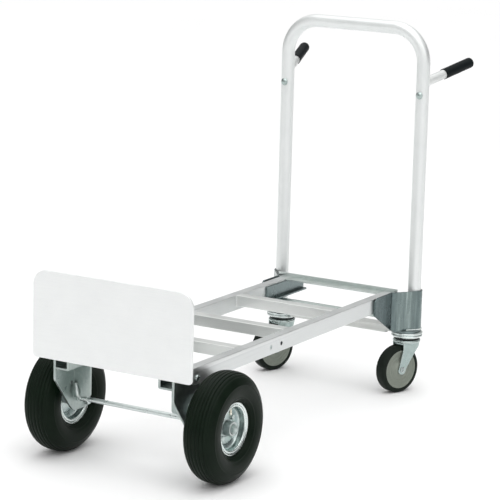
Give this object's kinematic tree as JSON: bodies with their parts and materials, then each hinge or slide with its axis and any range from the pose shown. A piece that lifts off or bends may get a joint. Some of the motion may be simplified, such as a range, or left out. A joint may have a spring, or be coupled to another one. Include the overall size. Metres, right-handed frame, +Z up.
{
  "type": "convertible hand truck",
  "caption": "Convertible aluminium hand truck set up as a platform cart: upright toe plate, pneumatic wheels, swivel casters and a lift-out U handle with side grips.",
  "frame": {"origin": "bottom centre of the bounding box, on the floor", "axes": "+Z up, +Y from the toe plate to the handle, +X to the truck's right side seen from behind"},
  "size_m": [0.5254, 1.2832, 0.9675],
  "materials": {
    "anodised": "satin clear anodised",
    "rail_aluminium": "mill finish, brushed along the length",
    "toe_aluminium": "satin, faintly scuffed",
    "galvanised": "galvanised, satin",
    "zinc": "bright zinc plate",
    "brass_nickel": "nickel plated",
    "tyre": "black moulded rubber",
    "caster_tread": "black solid rubber",
    "caster_hub": "grey moulded plastic",
    "grip": "black ribbed rubber"
  },
  "bodies": {
    "frame": {"toe_plate": "toe_aluminium", "toe_angle": "rail_aluminium", "rail_right": "rail_aluminium", "rail_left": "rail_aluminium", "crossbar_front": "rail_aluminium", "crossbar_middle": "rail_aluminium", "crossbar_rear": "rail_aluminium", "rail_bolt_right": "zinc", "rail_bolt_left": "zinc", "wheel_bracket_right": "galvanised", "wheel_bracket_left": "galvanised", "tie_rod": "zinc", "stub_axle_right": "zinc", "stub_axle_left": "zinc", "axle_spacer_right": "zinc", "axle_spacer_left": "zinc", "axle_nut_right": "zinc", "axle_nut_left": "zinc", "rear_angle": "galvanised", "lower_crossbar": "rail_aluminium", "rear_tie_bar": "galvanised", "caster_bracket_right": "galvanised", "caster_bracket_left": "galvanised", "inner_angle_right": "galvanised", "inner_angle_left": "galvanised", "caster_plate_right": "zinc", "caster_bearing_right": "galvanised", "caster_plate_left": "zinc", "caster_bearing_left": "galvanised"},
    "wheel_left": {"tyre_left": "tyre", "rim_outer_left": "zinc", "rim_inner_left": "zinc", "wheel_hub_left": "galvanised", "bearing_outer_left": "zinc", "bearing_inner_left": "zinc", "rim_clamp_left": "zinc", "valve_stem_left": "brass_nickel"},
    "caster_swivel_left": {"caster_fork_left": "zinc", "caster_axle_left": "zinc"},
    "caster_wheel_left": {"caster_tread_left": "caster_tread", "caster_hub_left": "caster_hub"},
    "wheel_right": {"tyre_right": "tyre", "rim_outer_right": "zinc", "rim_inner_right": "zinc", "wheel_hub_right": "galvanised", "bearing_outer_right": "zinc", "bearing_inner_right": "zinc", "rim_clamp_right": "zinc", "valve_stem_right": "brass_nickel"},
    "caster_swivel_right": {"caster_fork_right": "zinc", "caster_axle_right": "zinc"},
    "caster_wheel_right": {"caster_tread_right": "caster_tread", "caster_hub_right": "caster_hub"},
    "handle": {"handle_tube": "anodised", "grip_arm_right": "anodised", "grip_arm_left": "anodised", "grip_right": "grip", "grip_left": "grip", "stop_bolt_right": "zinc", "stop_bolt_left": "zinc"}
  },
  "joints": [
    {"name": "main_wheel_left", "type": "hinge", "parent": "frame", "child": "wheel_left", "pos_m": [-0.2195, -0.5066, 0.13], "axis": [1, 0, 0], "continuous": true},
    {"name": "caster_swivel_left", "type": "hinge", "parent": "frame", "child": "caster_swivel_left", "pos_m": [-0.19, 0.4514, 0.135], "axis": [0, 0, 1], "continuous": true},
    {"name": "caster_wheel_left", "type": "hinge", "parent": "caster_swivel_left", "child": "caster_wheel_left", "pos_m": [-0.2006, 0.42227, 0.0625], "axis": [0.9397, -0.342, 0], "continuous": true},
    {"name": "main_wheel_right", "type": "hinge", "parent": "frame", "child": "wheel_right", "pos_m": [0.2195, -0.5066, 0.13], "axis": [1, 0, 0], "continuous": true},
    {"name": "caster_swivel_right", "type": "hinge", "parent": "frame", "child": "caster_swivel_right", "pos_m": [0.19, 0.4514, 0.135], "axis": [0, 0, 1], "continuous": true},
    {"name": "caster_wheel_right", "type": "hinge", "parent": "caster_swivel_right", "child": "caster_wheel_right", "pos_m": [0.1794, 0.42227, 0.0625], "axis": [0.9397, -0.342, 0], "continuous": true},
    {"name": "handle_lift", "type": "slide", "parent": "frame", "child": "handle", "axis": [0, 0, 1], "range_m": [0, 0.1]}
  ]
}
